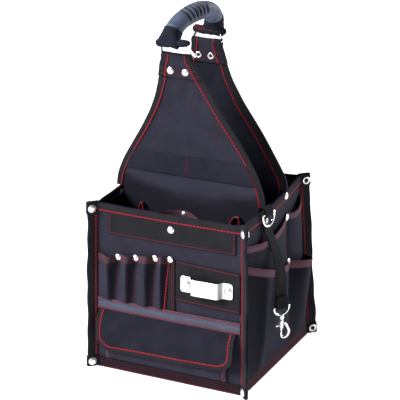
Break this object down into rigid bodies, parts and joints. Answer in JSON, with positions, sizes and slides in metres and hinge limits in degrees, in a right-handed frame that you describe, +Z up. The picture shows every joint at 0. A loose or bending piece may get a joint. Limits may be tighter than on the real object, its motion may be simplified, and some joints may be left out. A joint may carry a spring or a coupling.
{
  "type": "tool bag",
  "caption": "Open-top tool bag with a stiff box body, tall dividing panels joined by a padded handle, outside pockets, tool slots, a tape clip and a strap with a snap hook.",
  "frame": {"origin": "middle of the base, on the floor", "axes": "+Z up, -Y out of the front with the tool slots, +X towards the side with the strap"},
  "size_m": [0.2999, 0.2833, 0.5642],
  "materials": {
    "nylon": "coarse woven nylon, dark navy black",
    "binding": "ribbed binding tape, black",
    "webbing": "ribbed webbing, black",
    "satin": "smooth grey-blue band",
    "base_tape": "dark mauve tape with rows of red stitching",
    "lip_tape": "mauve pocket binding with stitch rows",
    "thread": "red sewing thread",
    "chrome": "bright nickel plate",
    "grip_rubber": "slate blue-grey ribbed grip"
  },
  "bodies": {
    "root": {"back_base_band": "base_tape", "back_rim_binding": "binding", "back_wall": "nylon", "bottom_panel": "nylon", "clip_rivet_left": "chrome", "clip_rivet_right": "chrome", "corner_binding_far_left": "binding", "corner_binding_far_right": "binding", "corner_binding_near_left": "binding", "corner_binding_near_right": "binding", "corner_rivet_high_far_left": "chrome", "corner_rivet_high_far_right": "chrome", "corner_rivet_high_near_left": "chrome", "corner_rivet_high_near_right": "chrome", "corner_rivet_low_far_left": "chrome", "corner_rivet_low_far_right": "chrome", "corner_rivet_low_near_left": "chrome", "corner_rivet_low_near_right": "chrome", "d_ring_tab": "webbing", "far_panel": "nylon", "flap": "nylon", "flap_pocket": "nylon", "front_base_band": "base_tape", "front_rim_binding": "binding", "front_wall": "nylon", "handle_end_far": "webbing", "handle_end_near": "webbing", "handle_grip": "grip_rubber", "handle_ring_far": "chrome", "handle_ring_near": "chrome", "hook_strip": "webbing", "inner_pocket": "nylon", "left_base_band": "base_tape", "left_rim_binding": "binding", "left_wall": "nylon", "lower_pocket_far": "nylon", "lower_pocket_near": "nylon", "near_panel": "nylon", "panel_band": "webbing", "panel_loop_far": "webbing", "panel_loop_near": "webbing", "right_base_band": "base_tape", "right_rim_binding": "binding", "right_wall": "nylon", "satin_band": "satin", "slot_strip": "webbing", "snap_eye": "chrome", "strap": "webbing", "strip_rivet": "chrome", "tape_clip": "chrome", "tool_slots": "nylon", "upper_pocket_far": "nylon", "upper_pocket_near": "nylon", "webbing_panel": "webbing"},
    "d_ring": {"d_ring": "chrome"},
    "snap_hook": {"snap_hook": "chrome"},
    "snap_bolt": {"snap_bolt": "chrome"}
  },
  "joints": [
    {"name": "d_ring_swing", "type": "hinge", "parent": "root", "child": "d_ring", "pos_m": [0.129, -0.048, 0.2675], "axis": [-0.2085, -0.978, 0], "range_deg": [0, 150]},
    {"name": "snap_swivel", "type": "hinge", "parent": "root", "child": "snap_hook", "pos_m": [0.1495, -0.0405, 0.0985], "axis": [0, 0, 1], "continuous": true},
    {"name": "snap_bolt_slide", "type": "slide", "parent": "snap_hook", "child": "snap_bolt", "axis": [0, 0, 1], "range_m": [0, 0.005], "stiffness_N_per_m": 100, "springref_m": -0.003}
  ]
}
